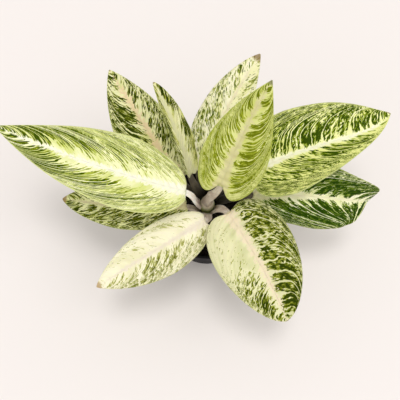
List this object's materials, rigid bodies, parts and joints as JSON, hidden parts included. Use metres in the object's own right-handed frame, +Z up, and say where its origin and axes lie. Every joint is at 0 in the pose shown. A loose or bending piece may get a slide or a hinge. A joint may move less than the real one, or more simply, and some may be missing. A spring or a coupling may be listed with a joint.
{
  "type": "potted aglaonema",
  "caption": "Potted aglaonema with broad variegated leaves on clasping stalks, rooted in a tapered black nursery pot.",
  "frame": {"origin": "middle of the pot's underside, on the surface that the pot stands on", "axes": "+Z up along the pot and stem, -Y towards the front, +X to the right"},
  "size_m": [0.4026, 0.2599, 0.3128],
  "materials": {
    "pot_plastic": "satin",
    "soil": "matte",
    "stem": "satin",
    "stalk": "satin",
    "leaf": "satin"
  },
  "bodies": {
    "root": {"pot": "pot_plastic", "soil": "soil", "stem": "stem", "blade_long_left": "leaf", "stalk_long_left": "stalk", "blade_upper_left": "leaf", "stalk_upper_left": "stalk", "blade_folded_back": "leaf", "stalk_folded_back": "stalk", "blade_tall_back": "leaf", "stalk_tall_back": "stalk", "blade_young_centre": "leaf", "stalk_young_centre": "stalk", "blade_upper_right": "leaf", "stalk_upper_right": "stalk", "blade_lower_right": "leaf", "stalk_lower_right": "stalk", "blade_front_right": "leaf", "stalk_front_right": "stalk", "blade_front_left": "leaf", "stalk_front_left": "stalk", "blade_lower_left": "leaf", "stalk_lower_left": "stalk"}
  },
  "joints": []
}
